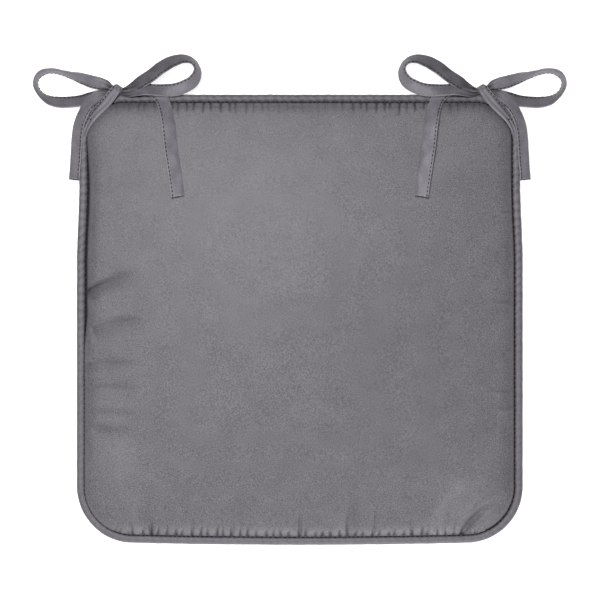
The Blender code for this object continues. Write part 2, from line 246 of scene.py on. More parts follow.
def ditch_shade(x, y):
    """How much shade is painted into the ditch beside the piping: deep at the sides and rear,
    shallow elsewhere.
    """
    left = 0.12 + 0.88 * eased(y, -45, 0)
    front = np.interp(x, (-185, -120, 140, 180), (0.12, 0.30, 0.45, 1.0))
    return np.where(y > 170, 0.55, np.where(y < -165, front, np.where(x < -150, left, 1.0)))


def ring_counts(rings, counts):
    """Faces between rings of points. A ring may have half as many points as the one before."""
    faces = []
    start = 0
    for ring in range(rings - 1):
        here, after = counts[ring], counts[ring + 1]
        there = start + here
        if here == after:
            for i in range(here):
                j = (i + 1) % here
                faces.append((start + i, start + j, there + j, there + i))
        else:
            for i in range(after):
                a, b, c = 2 * i, 2 * i + 1, (2 * i + 2) % here
                d, e = i, (i + 1) % after
                faces.append((start + a, start + b, there + d))
                faces.append((start + b, there + e, there + d))
                faces.append((start + b, start + c, there + e))
        start = there
    return faces


def panel_rings(profile, field, centre_height, top):
    """Rings of points from the seam to the middle of one panel, in millimetres."""
    ring, inward, run = (value * 1000 for value in outline(EDGE_POINTS))
    inward = inward / 1000
    inset, height = profile[:, 0], profile[:, 1]
    back = ditch(ring[:, 0], ring[:, 1]) if top else np.zeros(len(ring))
    shift = (1 - eased(inset, 8.5, 24)) * eased(height if top else inset, 11.3, 12.0)
    distance = inset[:, None] + shift[:, None] * back[None, :]
    x = ring[:, 0] + inward[:, 0] * distance
    y = ring[:, 1] + inward[:, 1] * distance
    z = np.repeat(height[:, None], len(ring), axis=1)
    gather = puckers(ring[:, 0], ring[:, 1], run, inset)
    z = z + gather if top else z - 0.35 * gather * eased(height, 0.6, 3.0)[:, None]
    # Painted shade in the pucker valleys, a little painted highlight where the cloth stands up
    # between them, and painted shade in the ditch beside the piping, over the top panel's wall rings
    # and the whole rolled edge of the underside.
    painted_shading = (np.clip(0.85 * gather, -1, 0.10)
           - (1 - eased(height, 12.4, 14.2))[:, None] * ditch_shade(ring[:, 0], ring[:, 1]))
    rings, counts = [], []
    for row in range(len(inset)):
        rings.append(np.stack([x[row], y[row], z[row]], axis=1))
        counts.append(len(ring))
    edge = rings[-1]
    for share, step in field:
        ring = edge[::step] * share
        ring[:, 2] = height[-1] + (centre_height - height[-1]) * (1 - share**4)
        rings.append(ring)
        counts.append(len(ring))
    painted_shading = np.concatenate([painted_shading.ravel(), np.zeros(sum(counts) - painted_shading.size)])
    return rings, counts, np.clip(painted_shading, -1, 1)


# Edge profiles, as (inset from the outline, height), from the piping towards the middle. The top
# one rolls over the piping, and the bottom one curves down to the flat underside.
TOP_PROFILE = smooth_line(
    ((8.0, 10.0), (8.0, 11.2), (7.55, 12.6), (7.85, 14.4), (9.4, 16.9), (12.0, 18.9),
     (15.8, 20.2), (20.5, 21.0), (25.5, 21.45), (30.0, 21.75)), 32)
BOTTOM_PROFILE = smooth_line(
    ((8.0, 10.0), (8.0, 8.4), (7.95, 7.3), (8.5, 5.7), (9.9, 4.2), (12.3, 2.6), (15.6, 1.3),
     (20.0, 0.35), (26.0, 0.05)), 20)[1:]
CROWN_HEIGHT = 24.6
UNDERSIDE_HEIGHT = 0.05
FOLD_DEPTH = 1.35  # all the folds together, against the depths that FOLDS gives
# Rings from the profile to the middle, as (share of the size, every how many points).
FIELD = ([(share, 2) for share in np.linspace(0.985, 0.72, 18)]
         + [(share, 4) for share in np.linspace(0.69, 0.36, 11)]
         + [(share, 8) for share in np.linspace(0.33, 0.03, 10)])
top_rings, top_counts, top_painted_shading = panel_rings(TOP_PROFILE, FIELD, CROWN_HEIGHT, True)
bottom_rings, bottom_counts, bottom_painted_shading = panel_rings(
    BOTTOM_PROFILE, FIELD[::3], UNDERSIDE_HEIGHT, False)
top_points = np.concatenate(top_rings)
bottom_points = np.concatenate(bottom_rings)
ring_number = np.concatenate([np.full(len(r), i) for i, r in enumerate(top_rings)])
field_share = eased(ring_number, 9, 18)
folds = FOLD_DEPTH * fold_height(top_points[:, 0], top_points[:, 1]) * eased(ring_number, 7, 11)
top_points[:, 2] += folds
# Painted shade in the fold valleys and painted highlight on their tops.
top_painted_shading = np.clip(top_painted_shading + 0.16 * np.clip(folds, -3, 1), -1, 1)
for index, (x, y, z) in enumerate(top_points):
    broad = noise.noise((x * 0.016, y * 0.016, 3.1)) * 0.55
    small = noise.noise((x * 0.05, y * 0.05, 8.4)) * 0.16
    top_points[index, 2] += (broad + small) * field_share[index]


def face_outwards(obj):
    """Turns every closed shell of a mesh so that its faces point out of it."""
    sheet = bmesh.new()
    sheet.from_mesh(obj.data)
    bmesh.ops.recalc_face_normals(sheet, faces=sheet.faces)
    sheet.to_mesh(obj.data)
    sheet.free()


def closed_mesh(name, points, faces, material, uv=None, painted_shading=None):
    """A smooth mesh object at the origin, from points in millimetres. Its shading values are
    painted shade below 0, in creases, hollows, seams and knots, and painted highlight above 0."""
    mesh = bpy.data.meshes.new(name)
    mesh.from_pydata(
        (np.asarray(points) / 1000).tolist(), [], [tuple(map(int, face)) for face in faces])
    mesh.update()
    if uv is not None:
        layer = mesh.uv_layers.new(name="cloth")
        layer.data.foreach_set("uv", np.asarray(uv, np.float32).ravel())
    if painted_shading is not None:
        shade = mesh.attributes.new("painted_shading", "FLOAT", "POINT")
        shade.data.foreach_set("value", np.asarray(painted_shading, np.float32))
    mesh.shade_smooth()
    mesh.materials.append(material)
    obj = bpy.data.objects.new(name, mesh)
    bpy.context.scene.collection.objects.link(obj)
    face_outwards(obj)
    return obj


def linear(code):
    """The linear colour of an sRGB hex value."""
    shares = [int(code[i : i + 2], 16) / 255 for i in (1, 3, 5)]
    return (*[s / 12.92 if s <= 0.04045 else ((s + 0.055) / 1.055) ** 2.4 for s in shares], 1.0)


def add(tree, kind, inputs=None, **settings):
    """Adds a node with its settings. An input takes a value, or (node, output) as a link."""
    made = tree.nodes.new(kind)
    for key, value in settings.items():
        setattr(made, key, value)
    for key, value in (inputs or {}).items():
        if isinstance(value, tuple) and isinstance(value[0], bpy.types.Node):
            tree.links.new(value[0].outputs[value[1]], made.inputs[key])
        else:
            made.inputs[key].default_value = value
    return made


WEAVE_SCALE = 571.0  # threads 0.55 mm apart
SPECKLE_SCALE = 1250.0
PILE_SCALE = 2400.0
CLOUD_SCALE = 45.0


def microfibre(name, pale, deep, on_uv=False, turn=0.0):
    """Brushed polyester microfibre, plain woven and dyed grey: a matt face with a faint silky
    sheen and a fine speckle where the pile lies different ways. Its threads are 0.2 mm apart,
    and they are drawn 0.55 mm apart so that they show."""
    material = bpy.data.materials.new(name)
    material.use_nodes = True
    tree = material.node_tree
    shader = tree.nodes["Principled BSDF"]
    source = add(tree, "ShaderNodeTexCoord")
    place = add(tree, "ShaderNodeMapping", {
        "Vector": (source, "UV" if on_uv else "Object"), "Rotation": (0, 0, turn)})
    at = (place, "Vector")
    speckle = add(tree, "ShaderNodeTexNoise", {
        "Vector": at, "Scale": SPECKLE_SCALE, "Detail": 1.5, "Roughness": 0.6})
    clouds = add(tree, "ShaderNodeTexNoise", {"Vector": at, "Scale": CLOUD_SCALE, "Detail": 2.0})
    speckled = add(tree, "ShaderNodeMapRange", {
        "Value": (speckle, 0), "From Min": 0.36, "From Max": 0.64, "To Min": 0.0, "To Max": 1.0})
    clouded = add(tree, "ShaderNodeMapRange", {
        "Value": (clouds, 0), "From Min": 0.3, "From Max": 0.7, "To Min": -0.10, "To Max": 0.10})
    both = add(tree, "ShaderNodeMath", {0: (speckled, 0), 1: (clouded, 0)},
               operation="ADD", use_clamp=True)
    colour = add(tree, "ShaderNodeMix", {0: (both, 0), 6: linear(deep), 7: linear(pale)},
                 data_type="RGBA")
    # Painted light: the shading attribute darkens the colour towards #1f1d21 as painted shade below
    # 0, and lightens it towards #a5a2a8 as painted highlight above 0.
    painted_shading = add(tree, "ShaderNodeAttribute", attribute_name="painted_shading")
    painted_shade = add(tree, "ShaderNodeMapRange", {
        "Value": (painted_shading, "Fac"), "From Min": 0.0, "From Max": -1.0, "To Min": 0.0, "To Max": 0.85})
    painted_highlight = add(tree, "ShaderNodeMapRange", {
        "Value": (painted_shading, "Fac"), "From Min": 0.0, "From Max": 1.0, "To Min": 0.0, "To Max": 0.40})
    dim = add(tree, "ShaderNodeMix", {0: (painted_shade, 0), 6: (colour, 2), 7: linear("#1f1d21")},
              data_type="RGBA")
    colour = add(tree, "ShaderNodeMix", {0: (painted_highlight, 0), 6: (dim, 2), 7: linear("#a5a2a8")},
                 data_type="RGBA")
    warp, weft = (
        add(tree, "ShaderNodeTexWave", {
            "Vector": at, "Scale": WEAVE_SCALE, "Distortion": 0.6, "Detail": 1.0},
            bands_direction=way)
        for way in ("X", "Y"))
    weave = add(tree, "ShaderNodeMath", {0: (warp, 1), 1: (weft, 1)}, operation="MULTIPLY")
    pile = add(tree, "ShaderNodeTexNoise", {"Vector": at, "Scale": PILE_SCALE, "Detail": 2.0})
    woven = add(tree, "ShaderNodeBump", {
        "Strength": 0.35, "Distance": 0.00008, "Height": (weave, 0)})
    brushed = add(tree, "ShaderNodeBump", {
        "Strength": 0.5, "Distance": 0.00006, "Height": (pile, 0), "Normal": (woven, 0)})
    rough = add(tree, "ShaderNodeMapRange", {
        "Value": (speckle, 0), "To Min": 0.44, "To Max": 0.58})
    tree.links.new(colour.outputs[2], shader.inputs["Base Color"])
    tree.links.new(rough.outputs[0], shader.inputs["Roughness"])
    tree.links.new(brushed.outputs[0], shader.inputs["Normal"])
    shader.inputs["Specular IOR Level"].default_value = 0.35
    shader.inputs["Sheen Weight"].default_value = 0.18
    shader.inputs["Sheen Roughness"].default_value = 0.45
    shader.inputs["Sheen Tint"].default_value = linear("#c9c6cc")
    return material


cover_cloth = microfibre("brushed_grey_microfibre", "#68656a", "#434145")
top_faces = ring_counts(len(top_counts), top_counts)
top_start = len(top_points) - top_counts[-1]
top_faces.append(tuple(range(top_start, len(top_points))))
bottom_faces = ring_counts(len(bottom_counts), bottom_counts)
bottom_start = len(bottom_points) - bottom_counts[-1]
bottom_faces.append(tuple(range(bottom_start, len(bottom_points))))
move = len(top_points) - EDGE_POINTS
bottom_faces = [
    tuple(i if i < EDGE_POINTS else i + move for i in reversed(face)) for face in bottom_faces
]
cover_points = np.concatenate([top_points, bottom_points[EDGE_POINTS:]])


COARSE_MESH = 0.006
FILLING_PRESSURE = 4
LAST_FRAME = 20
HELD_BELOW = 0.013
FILLING_RISE = 0.8


def blown(points, faces):
    """How far the filling lifts the top panel at each point, in millimetres: a coarse copy of the
    cover is simulated as cloth under pressure, with its seam and its underside held."""
    bag = closed_mesh("blown_cover", points, faces, cover_cloth)
    coarse = bag.modifiers.new("Coarse", "REMESH")
    coarse.mode = "VOXEL"
    coarse.voxel_size = COARSE_MESH
    plain = bag.data
    graph = bpy.context.evaluated_depsgraph_get()
    bag.data = bpy.data.meshes.new_from_object(bag.evaluated_get(graph))
    bpy.data.meshes.remove(plain)
    bag.modifiers.clear()
    held = bag.vertex_groups.new(name="seam")
    held.add([v.index for v in bag.data.vertices if v.co.z < HELD_BELOW], 1.0, "REPLACE")
    still = BVHTree.FromObject(bag, bpy.context.evaluated_depsgraph_get())
    cloth = bag.modifiers.new("Cloth", "CLOTH")
    cloth.settings.vertex_group_mass = "seam"
    cloth.settings.effector_weights.gravity = 0
    cloth.settings.use_pressure = True
    cloth.settings.uniform_pressure_force = FILLING_PRESSURE
    cloth.point_cache.frame_start, cloth.point_cache.frame_end = 1, LAST_FRAME
    for frame_number in range(1, LAST_FRAME + 1):
        bpy.context.scene.frame_set(frame_number)
    full = BVHTree.FromObject(bag, bpy.context.evaluated_depsgraph_get())
    rise = np.zeros(len(points))
    for index, (x, y, z) in enumerate(points / 1000):
        before = still.ray_cast(Vector((x, y, 0.1)), Vector((0, 0, -1)))[0]
        after = full.ray_cast(Vector((x, y, 0.1)), Vector((0, 0, -1)))[0]
        if before and after:
            rise[index] = (after.z - before.z) * 1000
    bpy.context.scene.frame_set(1)
    used = bag.data
    bpy.data.objects.remove(bag)
    bpy.data.meshes.remove(used)
    return rise


rise = blown(cover_points, top_faces + bottom_faces)[: len(top_points)]
ring_inset = np.concatenate([TOP_PROFILE[:, 0], np.full(len(FIELD), 30.0)])
cover_points[: len(top_points), 2] += (
    FILLING_RISE * np.clip(rise / rise.max(), 0, 1)
    * eased(ring_inset[ring_number], 12, 26))
cover = closed_mesh("cover", cover_points, top_faces + bottom_faces, cover_cloth,
                    painted_shading=np.concatenate([top_painted_shading, bottom_painted_shading[EDGE_POINTS:]]))
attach(cover, "pad")
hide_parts("top_panel", "bottom_panel", "foam_core")

# ---------------------------------------------------------------------------------------------
# Piping. A strip of the cover's cloth 40 mm wide, cut on the bias and folded round a soft filler
# cord, with its two edges caught in the seam. It twists a little as it is sewn, so it shows
# short slanting wrinkles.
PIPING_RADIUS = 3.8
SEAM_HEIGHT = 10.0
PIPING_SIDES = 22
WRINKLE_SPACING = 7.5
WRINKLE_LEAN = 1.15
WRINKLE_DEPTH = 0.10
SQUARENESS = 0.85  # how far the round section goes towards a rounded square
STRIP_REACH = 4.27  # where the strip's two layers lie side by side and enter the seam


def grid_faces(rows, columns, wrap_rows, wrap_columns):
    """Faces of a grid of points, and the (row, column) of each of their corners."""
    faces, corners = [], []
    for row in range(rows if wrap_rows else rows - 1):
        for column in range(columns if wrap_columns else columns - 1):
            square = ((row, column), (row, column + 1), (row + 1, column + 1), (row + 1, column))
            faces.append(tuple((r % rows) * columns + c % columns for r, c in square))
            corners += square
    return faces, np.array(corners, float)


ring, inward, run = outline(EDGE_POINTS)
ring, run = ring * 1000, run * 1000
girth = np.arange(PIPING_SIDES) / PIPING_SIDES * 2 * math.pi
piping_points = np.zeros((EDGE_POINTS, PIPING_SIDES, 3))
piping_painted_shading = np.zeros((EDGE_POINTS, PIPING_SIDES))
shade = ditch_shade(ring[:, 0], ring[:, 1])
for index in range(EDGE_POINTS):
    x, y = ring[index]
    at_side = float(eased(abs(x), 150, 190)) * float(eased(y, -60, 60))
    strong = 0.35 + 0.65 * max(at_side, float(y > 180))
    for column, angle in enumerate(girth):
        twist = run[index] / WRINKLE_SPACING + angle / (2 * math.pi) * WRINKLE_LEAN
        spot = noise.noise((x * 0.09, y * 0.09, angle * 0.5))
        slant = math.sin(2 * math.pi * twist + 2.2 * spot)
        wrinkle = WRINKLE_DEPTH * strong * slant * (0.4 + abs(spot) * 2)
        radius = PIPING_RADIUS + wrinkle + 0.20 * spot - 0.10
        # Painted shade on the piping's inner side, in the ditch, and painted shade and highlight
        # across its slanting wrinkles.
        piping_painted_shading[index, column] = (-shade[index] * math.exp(-((abs(angle - math.pi) / 0.42) ** 2))
                                     + 0.32 * strong * min(slant, 0.3) + 0.04)
        squared = (abs(math.cos(angle)) ** 3 + abs(math.sin(angle)) ** 3) ** (-1 / 3)
        radius *= 1 + SQUARENESS * (squared - 1)
        if column == PIPING_SIDES // 2:
            radius = STRIP_REACH
        aside = PIPING_RADIUS - 0.05 - math.cos(angle) * radius
        piping_points[index, column] = (*(ring[index] + inward[index] * aside),
                                        SEAM_HEIGHT + math.sin(angle) * radius)
piping_faces, corners = grid_faces(EDGE_POINTS, PIPING_SIDES, True, True)
piping_uv = corners * (run[1] / 1000, 2 * math.pi * PIPING_RADIUS / PIPING_SIDES / 1000)
bias_cloth = microfibre("bias_cut_grey_microfibre", "#66636a", "#444246", on_uv=True,
                        turn=math.radians(45))
piping = closed_mesh("piping", piping_points.reshape(-1, 3), piping_faces, bias_cloth, piping_uv,
                     painted_shading=piping_painted_shading.ravel())
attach(piping, "pad")
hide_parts("piping_sleeve", "piping_cord")

# ---------------------------------------------------------------------------------------------
# Seam stitches. Polyester sewing thread in a lockstitch, close beside the piping on both faces,
# sunk into the cloth so that it shows as short dashes in the ditch. The real stitch is about
# 3.3 mm long in thread 0.3 mm thick: it is drawn longer and thicker, so that it shows.
def thread(name, code):
    """Spun polyester sewing thread: matt, with its plies showing as fine slanting ridges."""
    material = bpy.data.materials.new(name)
    material.use_nodes = True
    tree = material.node_tree
    shader = tree.nodes["Principled BSDF"]
    source = add(tree, "ShaderNodeTexCoord")
    tint = add(tree, "ShaderNodeTexNoise", {
        "Vector": (source, "Object"), "Scale": 300.0, "Detail": 1.0})
    pale = tuple(min(1.0, value * 1.35) for value in linear(code)[:3]) + (1.0,)
    colour = add(tree, "ShaderNodeMix", {0: (tint, 0), 6: linear(code), 7: pale}, data_type="RGBA")
    plies = add(tree, "ShaderNodeTexWave", {
        "Vector": (source, "Object"), "Scale": 1250.0, "Distortion": 1.5},
        bands_direction="DIAGONAL")
    ridges = add(tree, "ShaderNodeBump", {
        "Strength": 0.6, "Distance": 0.00005, "Height": (plies, 1)})
    tree.links.new(colour.outputs[2], shader.inputs["Base Color"])
    tree.links.new(ridges.outputs[0], shader.inputs["Normal"])
    shader.inputs["Roughness"].default_value = 0.8
    shader.inputs["Specular IOR Level"].default_value = 0.15
    return material


def stitching_tree():
    """Geometry Nodes: lays stitch after stitch along each line of the mesh that it is given."""
    tree = bpy.data.node_groups.new("lockstitch", "GeometryNodeTree")
    tree.interface.new_socket("Geometry", in_out="INPUT", socket_type="NodeSocketGeometry")
    for name, kind in (("Pitch", "NodeSocketFloat"), ("Length", "NodeSocketFloat"),
                       ("Thickness", "NodeSocketFloat"), ("Seed", "NodeSocketInt"),
                       ("Thread", "NodeSocketMaterial")):
        tree.interface.new_socket(name, in_out="INPUT", socket_type=kind)
    tree.interface.new_socket("Geometry", in_out="OUTPUT", socket_type="NodeSocketGeometry")
    given = add(tree, "NodeGroupInput")
    line = add(tree, "GeometryNodeMeshToCurve", {"Mesh": (given, "Geometry")})
    even = add(tree, "GeometryNodeResampleCurve", {"Curve": (line, 0), "Length": (given, "Pitch")},
               mode="LENGTH")
    places = add(tree, "GeometryNodeCurveToPoints", {"Curve": (even, 0)}, mode="EVALUATED")
    facing = add(tree, "FunctionNodeAlignRotationToVector", {"Vector": (places, "Tangent")},
                 axis="Z")
    uneven = add(tree, "FunctionNodeRandomValue", {
        "Min": (-0.07, -0.07, -0.07), "Max": (0.07, 0.07, 0.07), "Seed": (given, "Seed")},
        data_type="FLOAT_VECTOR")
    tipped = add(tree, "FunctionNodeRotateRotation", {
        "Rotation": (facing, 0), "Rotate By": (uneven, 0)}, rotation_space="LOCAL")
    size = add(tree, "ShaderNodeCombineXYZ", {
        "X": (given, "Thickness"), "Y": (given, "Thickness"), "Z": (given, "Length")})
    stitch = add(tree, "GeometryNodeMeshUVSphere", {"Segments": 6, "Rings": 6, "Radius": 0.5})
    laid = add(tree, "GeometryNodeInstanceOnPoints", {
        "Points": (places, 0), "Instance": (stitch, 0), "Rotation": (tipped, 0),
        "Scale": (size, 0)})
    real = add(tree, "GeometryNodeRealizeInstances", {"Geometry": (laid, 0)})
    round_off = add(tree, "GeometryNodeSetShadeSmooth", {"Geometry": (real, 0)})
    dyed = add(tree, "GeometryNodeSetMaterial", {
        "Geometry": (round_off, 0), "Material": (given, "Thread")})
    add(tree, "NodeGroupOutput", {"Geometry": (dyed, 0)})
    return tree


lockstitch = stitching_tree()


def sew(name, lines, material, pitch, length, thickness, closed=False):
    """Stitches along lines of points in millimetres, as one plain mesh."""
    points, edges = [], []
    for line in lines:
        first = len(points)
        points += (np.asarray(line) / 1000).tolist()
        edges += [(i, i + 1) for i in range(first, len(points) - 1)]
        if closed:
            edges.append((len(points) - 1, first))
    guide = bpy.data.meshes.new(name)
    guide.from_pydata(points, edges, [])
    obj = bpy.data.objects.new(name, guide)
    bpy.context.scene.collection.objects.link(obj)
    modifier = obj.modifiers.new("Lockstitch", "NODES")
    sockets = {item.name: item.identifier for item in lockstitch.interface.items_tree
               if item.in_out == "INPUT"}
    modifier.node_group = lockstitch
    for socket, value in (("Pitch", pitch / 1000), ("Length", length / 1000),
                          ("Thickness", thickness / 1000), ("Seed", 3), ("Thread", material)):
        modifier[sockets[socket]] = value
    bpy.context.view_layer.update()
    graph = bpy.context.evaluated_depsgraph_get()
    sewn = bpy.data.meshes.new_from_object(obj.evaluated_get(graph))
    obj.modifiers.clear()
    obj.data = sewn
    sewn.name = name
    bpy.data.meshes.remove(guide)
    return obj


# Near black, darker than the grey thread itself: the real thread plus painted shade of the groove it
# is sunk in.
seam_thread = thread("grey_polyester_thread", "#1a191c")
seam_lines = []
stand_back = 0.4 * (ditch(ring[:, 0], ring[:, 1]) - 0.25)[:, None]
for height in (13.35, 6.65):
    line = ring + inward * (7.30 + stand_back * (height > SEAM_HEIGHT))
    seam_lines.append(np.column_stack([line, np.full(len(line), height)]))
seam = sew("seam_stitches", seam_lines, seam_thread, pitch=4.1, length=2.8, thickness=1.1,
           closed=True)
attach(seam, "pad")
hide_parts("seam_thread_top", "seam_thread_bottom")

# ---------------------------------------------------------------------------------------------
# Ties. Each is one strip of the cover's cloth, its raw edges folded in and edge-stitched into a
# tape 12 mm wide. It is sewn into the corner seam, lies over the piping to the knot, and is
# tied there in a bow: two loops and two tails.
TAPE_WIDTH = 11.8
TAPE_THICKNESS = 1.2
TAPE_STEP = 1.1  # between rows of points along a tape
KNOT_REACH = 9  # how far a knot's gathers run along the tape
# Each run of tape is ((x, y, z) in millimetres, roll in degrees, share of the full width). A
# positive roll raises the edge on the right of the way that it runs.
TAPE_RUNS = {
    "tie_root": (
        ((-193.6, 161.0, 12.6), 8, 0.40), ((-192.2, 169.0, 14.0), 20, 0.50),
        ((-188.6, 176.6, 15.4), 30, 0.62), ((-184.0, 182.6, 16.5), 26, 0.72),
        ((-178.6, 188.6, 17.0), 16, 0.78), ((-172.9, 194.6, 17.4), 8, 0.80),
        ((-168.4, 200.0, 17.9), 2, 0.78), ((-165.8, 203.4, 18.4), 0, 0.74),
        ((-164.1, 205.9, 18.2), 0, 0.72), ((-163.1, 207.4, 17.0), 0, 0.64),
        ((-162.7, 208.1, 14.6), 0, 0.60), ((-163.0, 207.4, 11.6), 0, 0.56),
    ),
    "outer_loop": (
        ((-165.6, 206.9, 12.4), 0, 0.34), ((-168.9, 207.8, 12.8), 0, 0.50),
        ((-173.4, 209.6, 13.0), 8, 0.86), ((-180.1, 211.7, 12.6), 16, 1.00),
        ((-187.2, 213.5, 11.0), 24, 1.02), ((-197.2, 216.9, 7.8), 38, 1.00),
        ((-205.2, 219.4, 6.6), 62, 1.00), ((-213.3, 221.8, 6.5), 72, 1.00),
        ((-222.2, 223.6, 6.4), 74, 1.00), ((-230.6, 222.2, 6.4), 74, 1.00),
        ((-235.8, 218.0, 6.4), 72, 1.00), ((-237.4, 212.4, 6.4), 74, 1.00),
        ((-235.3, 206.0, 6.4), 74, 1.00), ((-230.6, 200.8, 5.8), 60, 1.00),
        ((-224.9, 197.4, 4.8), 42, 1.00), ((-218.6, 196.0, 4.0), 30, 1.04),
        ((-210.6, 195.8, 4.0), 28, 1.04), ((-197.2, 197.2, 4.4), 24, 1.02),
        ((-189.9, 199.1, 4.6), 10, 0.95), ((-183.7, 201.4, 5.0), 0, 0.78),
        ((-176.5, 203.6, 6.2), 0, 0.60), ((-169.6, 205.0, 7.0), 0, 0.40),
        ((-166.0, 205.6, 8.0), 0, 0.34),
    ),
    "inner_loop": (
        ((-160.6, 205.7, 12.4), 0, 0.30), ((-157.4, 205.8, 12.7), 6, 0.40),
        ((-149.6, 208.1, 14.1), 16, 0.84), ((-142.4, 212.4, 15.8), 24, 1.12),
        ((-132.1, 219.0, 17.2), 28, 1.18), ((-122.7, 226.0, 18.0), 30, 1.20),
        ((-111.5, 231.6, 18.2), 34, 1.16), ((-102.9, 233.3, 17.8), 46, 1.06),
        ((-95.8, 231.0, 17.2), 60, 1.00), ((-92.0, 226.2, 16.6), 64, 1.00),
        ((-91.5, 220.6, 16.4), 52, 1.00), ((-94.9, 213.7, 17.0), 30, 1.00),
        ((-101.3, 209.2, 17.6), 12, 1.00), ((-110.1, 205.9, 18.0), 2, 1.00),
        ((-118.0, 205.1, 18.2), -10, 1.00), ((-126.3, 205.2, 18.2), -26, 1.04),
        ((-136.1, 205.6, 18.0), -40, 1.14), ((-144.6, 204.9, 17.6), -44, 1.14),
        ((-152.2, 203.4, 16.4), -26, 0.80), ((-157.4, 203.0, 15.2), 0, 0.46),
        ((-160.6, 204.0, 14.4), 0, 0.34),
    ),
    "outer_tail": (
        ((-166.2, 204.0, 9.9), 0, 0.30), ((-169.6, 203.6, 9.8), 0, 0.34),
        ((-173.6, 203.0, 9.4), 0, 0.60), ((-177.6, 202.1, 9.2), 2, 0.82),
        ((-181.0, 200.2, 9.4), 0, 0.96), ((-184.6, 197.2, 10.1), -6, 1.00),
        ((-189.4, 192.7, 11.4), -20, 1.00), ((-193.6, 185.9, 12.2), -28, 1.00),
        ((-196.4, 179.6, 12.5), -29, 1.00), ((-198.8, 170.7, 12.5), -30, 1.00),
        ((-200.5, 150.9, 12.2), -30, 1.00), ((-201.4, 138.4, 11.9), -30, 1.00),
        ((-202.4, 126.4, 11.5), -30, 1.00),
    ),
    "inner_tail": (
        ((-160.4, 205.0, 10.0), 0, 0.30), ((-157.4, 205.4, 10.0), 0, 0.34),
        ((-150.5, 207.5, 11.2), 0, 0.66), ((-142.4, 208.0, 13.1), 0, 0.78),
        ((-134.3, 206.0, 14.9), 0, 0.92), ((-129.0, 203.4, 15.6), 0, 1.00),
        ((-125.8, 200.4, 16.2), 2, 1.00), ((-123.0, 196.8, 17.2), 6, 1.00),
        ((-121.2, 192.6, 19.4), 12, 1.00), ((-119.4, 187.0, 22.2), 17, 1.02),
        ((-117.9, 180.0, 24.6), 20, 1.06), ((-115.9, 165.3, 26.2), 20, 1.07),
        ((-114.3, 150.9, 26.8), 19, 1.06), ((-112.5, 139.7, 27.0), 17, 1.05),
        ((-110.0, 122.7, 27.1), 15, 1.04), ((-108.3, 110.1, 27.0), 13, 1.04),
    ),
}


def lay_tape(points):
    """The tape's middle, the way across it to the right, its upward face, half width and run."""
    curve = bpy.data.curves.new("tape_line", "CURVE")
    curve.dimensions = "3D"
    curve.twist_mode = "Z_UP"
    curve.extrude = TAPE_WIDTH / 2
    curve.resolution_u = 10
    spline = curve.splines.new("BEZIER")
    spline.bezier_points.add(len(points) - 1)
    for point, (place, roll, share) in zip(spline.bezier_points, points):
        point.co = place
        point.tilt = math.radians(90 - roll)
        point.radius = share
        point.handle_left_type = point.handle_right_type = "AUTO"
    guide = bpy.data.objects.new("tape_line", curve)
    bpy.context.scene.collection.objects.link(guide)
    bpy.context.view_layer.update()
    mesh = guide.evaluated_get(bpy.context.evaluated_depsgraph_get()).to_mesh()
    edges = np.array([vertex.co for vertex in mesh.vertices]).reshape(-1, 2, 3)
    bpy.data.objects.remove(guide)
    bpy.data.curves.remove(curve)
    middle = edges.mean(axis=1)
    run = np.concatenate([[0], np.cumsum(np.linalg.norm(np.diff(middle, axis=0), axis=1))])
    even = np.linspace(0, run[-1], int(run[-1] / TAPE_STEP) + 1)
    edges = np.stack([np.stack([np.interp(even, run, edges[:, e, a]) for a in range(3)], axis=1)
                      for e in range(2)], axis=1)
    middle = edges.mean(axis=1)
    across = edges[:, 1] - edges[:, 0]
    half = np.linalg.norm(across, axis=1) / 2
    along = np.gradient(middle, axis=0)
    across /= 2 * half[:, None]
    right = np.cross(along, (0, 0, 1))
    if (across[0] * right[0]).sum() < 0:
        across = -across
    face = np.cross(across, along)
    face /= np.linalg.norm(face, axis=1)[:, None]
    return middle, across, face, half, even


def tape_bend(share, run, half, knots, seed):
    """How far the tape's middle surface rises from flat: cupping, gathers and small waves."""
    narrow = np.clip(1 - 2 * half / TAPE_WIDTH, 0, 1)[:, None]
    near = np.zeros(len(run))
    if "start" in knots:
        near = np.maximum(near, np.exp(-run / KNOT_REACH))
    if "end" in knots:
        near = np.maximum(near, np.exp(-(run[-1] - run) / KNOT_REACH))
    near = near[:, None]
    ripple = np.cos(math.pi * (2.3 * share[None, :] + 0.35 + 0.2 * seed))
    gather = (0.35 * near + 0.9 * narrow) * ripple
    wave, fine = (
        np.array([[noise.noise((v * long, u * wide, place)) for u in share] for v in run])
        for long, wide, place in ((0.11, 0.9, seed * 7.7), (0.35, 1.6, seed * 3.1 + 50)))
    cup = -0.28 * (share**2 - 0.33)[None, :] * (1 - narrow)
    return gather + cup + 0.50 * wave + 0.14 * fine


SHARES = np.concatenate([[-1.0, -0.985, -0.94, -0.86], np.linspace(-0.76, 0.76, 15),
                         [0.86, 0.94, 0.985, 1.0]])


def half_thickness(share, stitched):
    """Half the tape's thickness across its width, with a groove under the edge stitching."""
    full = TAPE_THICKNESS / 2 * np.sqrt(np.clip(1 - np.abs(share) ** 7, 0, 1))
    return full * (1 - 0.42 * np.exp(-(((share - stitched) / 0.07) ** 2))) + 0.02


